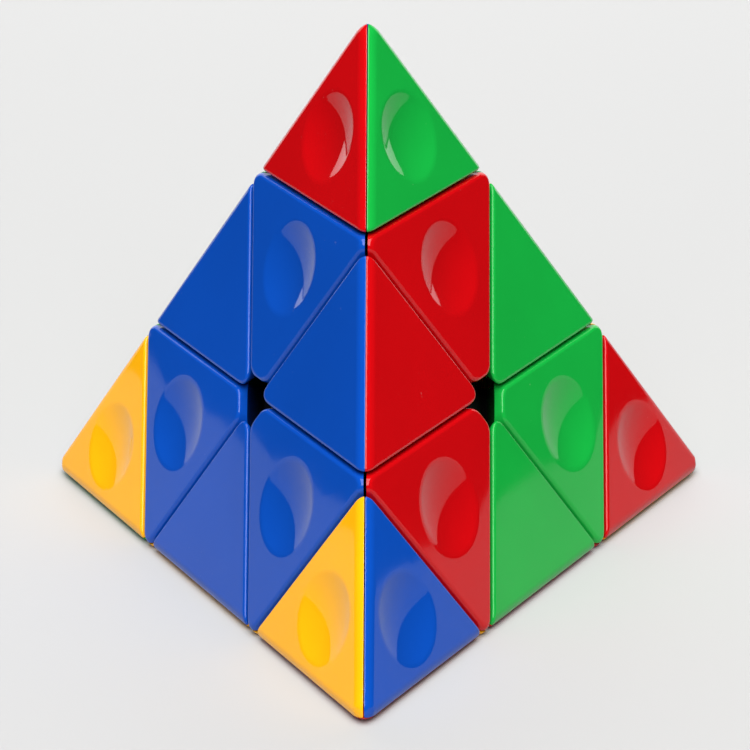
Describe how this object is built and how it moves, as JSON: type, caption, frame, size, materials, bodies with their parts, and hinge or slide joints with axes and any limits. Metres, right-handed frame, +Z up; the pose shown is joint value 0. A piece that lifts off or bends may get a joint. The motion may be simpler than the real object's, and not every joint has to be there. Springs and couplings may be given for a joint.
{
  "type": "pyramid twisty puzzle",
  "caption": "Pyramid twisty puzzle whose tips, centres and edge pieces carry hollow coloured facets and turn about a sprung core.",
  "frame": {"origin": "middle of the pyramid, where the four turning axes cross", "axes": "+Z up through the top tip, the front edge toward -Y, +X to the right"},
  "size_m": [0.0986, 0.0859, 0.0807],
  "materials": {
    "red_plastic": "glossy moulded plastic, coloured through",
    "blue_plastic": "glossy moulded plastic, coloured through",
    "green_plastic": "glossy moulded plastic, coloured through",
    "yellow_plastic": "glossy moulded plastic, coloured through",
    "black_plastic": "satin moulded plastic",
    "steel": "plain steel"
  },
  "bodies": {
    "core": {"core": "black_plastic", "axis_screws": "steel", "axis_washers": "steel", "axis_springs": "steel"},
    "centre_top": {"centre_top_green": "green_plastic", "centre_top_blue": "blue_plastic", "centre_top_red": "red_plastic", "centre_top_hub": "black_plastic"},
    "tip_top": {"tip_top_blue": "blue_plastic", "tip_top_red": "red_plastic", "tip_top_green": "green_plastic", "tip_top_base": "black_plastic"},
    "centre_front": {"centre_front_yellow": "yellow_plastic", "centre_front_red": "red_plastic", "centre_front_blue": "blue_plastic", "centre_front_hub": "black_plastic"},
    "tip_front": {"tip_front_red": "red_plastic", "tip_front_blue": "blue_plastic", "tip_front_yellow": "yellow_plastic", "tip_front_base": "black_plastic"},
    "centre_left": {"centre_left_yellow": "yellow_plastic", "centre_left_blue": "blue_plastic", "centre_left_green": "green_plastic", "centre_left_hub": "black_plastic"},
    "tip_left": {"tip_left_green": "green_plastic", "tip_left_yellow": "yellow_plastic", "tip_left_blue": "blue_plastic", "tip_left_base": "black_plastic"},
    "centre_right": {"centre_right_red": "red_plastic", "centre_right_yellow": "yellow_plastic", "centre_right_green": "green_plastic", "centre_right_hub": "black_plastic"},
    "tip_right": {"tip_right_yellow": "yellow_plastic", "tip_right_green": "green_plastic", "tip_right_red": "red_plastic", "tip_right_base": "black_plastic"},
    "edge_top_front": {"edge_top_front_red": "red_plastic", "edge_top_front_blue": "blue_plastic", "edge_top_front_foot": "black_plastic"},
    "edge_top_left": {"edge_top_left_blue": "blue_plastic", "edge_top_left_green": "green_plastic", "edge_top_left_foot": "black_plastic"},
    "edge_top_right": {"edge_top_right_yellow": "yellow_plastic", "edge_top_right_green": "green_plastic", "edge_top_right_foot": "black_plastic"},
    "edge_front_left": {"edge_front_left_blue": "blue_plastic", "edge_front_left_yellow": "yellow_plastic", "edge_front_left_foot": "black_plastic"},
    "edge_front_right": {"edge_front_right_green": "green_plastic", "edge_front_right_red": "red_plastic", "edge_front_right_foot": "black_plastic"},
    "edge_back": {"edge_back_yellow": "yellow_plastic", "edge_back_red": "red_plastic", "edge_back_foot": "black_plastic"}
  },
  "joints": [
    {"name": "turn_top", "type": "hinge", "parent": "core", "child": "centre_top", "pos_m": [0, 0, 0], "axis": [0, 0, 1], "range_deg": [-240, 120]},
    {"name": "turn_front", "type": "hinge", "parent": "core", "child": "centre_front", "pos_m": [0, 0, 0], "axis": [0, -0.9428, -0.3333], "range_deg": [-240, 120]},
    {"name": "turn_left", "type": "hinge", "parent": "core", "child": "centre_left", "pos_m": [0, 0, 0], "axis": [-0.8165, 0.4714, -0.3333], "range_deg": [-240, 120]},
    {"name": "turn_right", "type": "hinge", "parent": "core", "child": "centre_right", "pos_m": [0, 0, 0], "axis": [0.8165, 0.4714, -0.3333], "range_deg": [-240, 120]},
    {"name": "spin_tip_top", "type": "hinge", "parent": "centre_top", "child": "tip_top", "pos_m": [0, 0, 0], "axis": [0, 0, 1], "continuous": true},
    {"name": "spin_tip_front", "type": "hinge", "parent": "centre_front", "child": "tip_front", "pos_m": [0, 0, 0], "axis": [0, -0.9428, -0.3333], "continuous": true},
    {"name": "spin_tip_left", "type": "hinge", "parent": "centre_left", "child": "tip_left", "pos_m": [0, 0, 0], "axis": [-0.8165, 0.4714, -0.3333], "continuous": true},
    {"name": "spin_tip_right", "type": "hinge", "parent": "centre_right", "child": "tip_right", "pos_m": [0, 0, 0], "axis": [0.8165, 0.4714, -0.3333], "continuous": true},
    {"name": "carry_edge_top_front", "type": "hinge", "parent": "centre_front", "child": "edge_top_front", "pos_m": [0, 0, 0], "axis": [0, 0, 1], "range_deg": [-240, 120]},
    {"name": "carry_edge_top_left", "type": "hinge", "parent": "centre_left", "child": "edge_top_left", "pos_m": [0, 0, 0], "axis": [0, 0, 1], "range_deg": [-240, 120]},
    {"name": "carry_edge_top_right", "type": "hinge", "parent": "centre_right", "child": "edge_top_right", "pos_m": [0, 0, 0], "axis": [0, 0, 1], "range_deg": [-240, 120]},
    {"name": "carry_edge_front_left", "type": "hinge", "parent": "centre_front", "child": "edge_front_left", "pos_m": [0, 0, 0], "axis": [-0.8165, 0.4714, -0.3333], "range_deg": [-240, 120]},
    {"name": "carry_edge_front_right", "type": "hinge", "parent": "centre_right", "child": "edge_front_right", "pos_m": [0, 0, 0], "axis": [0, -0.9428, -0.3333], "range_deg": [-240, 120]},
    {"name": "carry_edge_back", "type": "hinge", "parent": "centre_left", "child": "edge_back", "pos_m": [0, 0, 0], "axis": [0.8165, 0.4714, -0.3333], "range_deg": [-240, 120]}
  ],
  "couplings": [
    {"joint": "carry_edge_top_front", "follows": "turn_top", "ratio": 1},
    {"joint": "carry_edge_top_left", "follows": "turn_top", "ratio": 1},
    {"joint": "carry_edge_top_right", "follows": "turn_top", "ratio": 1},
    {"joint": "carry_edge_front_left", "follows": "turn_left", "ratio": 1},
    {"joint": "carry_edge_front_right", "follows": "turn_front", "ratio": 1},
    {"joint": "carry_edge_back", "follows": "turn_right", "ratio": 1}
  ]
}
